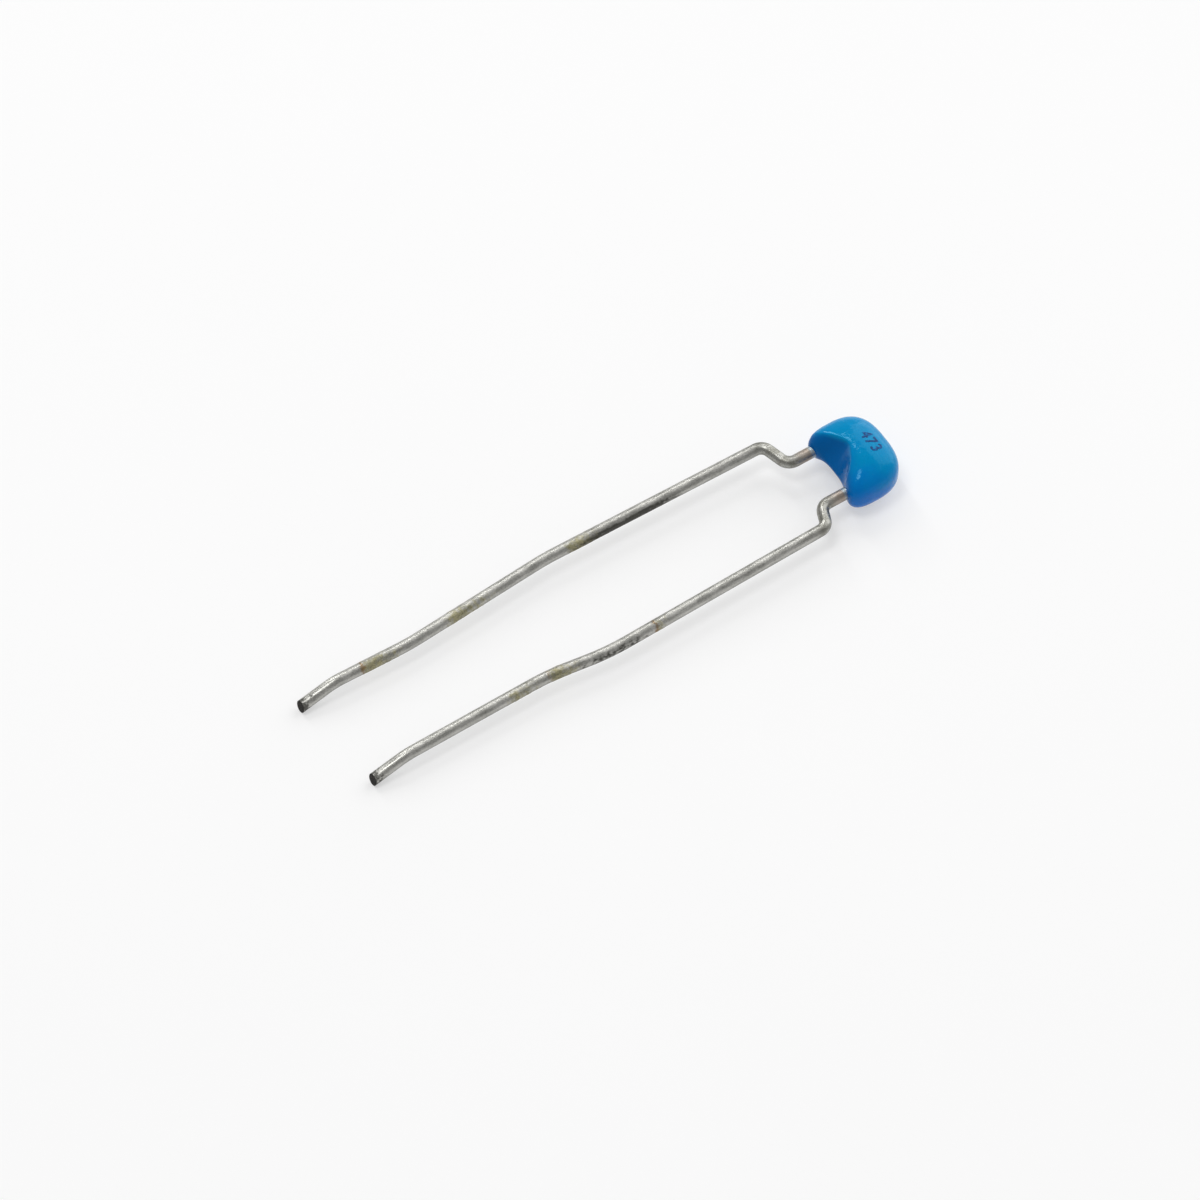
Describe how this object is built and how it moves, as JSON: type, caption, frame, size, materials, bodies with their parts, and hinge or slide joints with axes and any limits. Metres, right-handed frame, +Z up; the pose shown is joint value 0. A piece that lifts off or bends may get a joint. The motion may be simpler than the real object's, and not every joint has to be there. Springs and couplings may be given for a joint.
{
  "type": "ceramic capacitor",
  "caption": "Epoxy-dipped radial ceramic capacitor: a blue pillow-shaped coating over a soldered multilayer chip, on kinked tinned wire leads that pass through a circuit board.",
  "frame": {"origin": "on the floor under the middle of the overall length, midway between the leads below their kinks", "axes": "+X along the leads towards the coating, +Y towards the left lead, +Z up from the broad face that it lies on"},
  "size_m": [0.0284, 0.0061, 0.0024],
  "materials": {
    "blue_epoxy": "glossy",
    "tinned_wire": "satin, dulled",
    "solder": "satin",
    "termination": "matte",
    "electrode": "matte",
    "ceramic": "fired, matte"
  },
  "bodies": {
    "root": {"ceramic_block": "ceramic", "left_electrodes": "electrode", "right_electrodes": "electrode", "left_termination": "termination", "right_termination": "termination", "left_solder": "solder", "right_solder": "solder", "left_lead": "tinned_wire", "right_lead": "tinned_wire", "epoxy_coating": "blue_epoxy"}
  },
  "joints": []
}
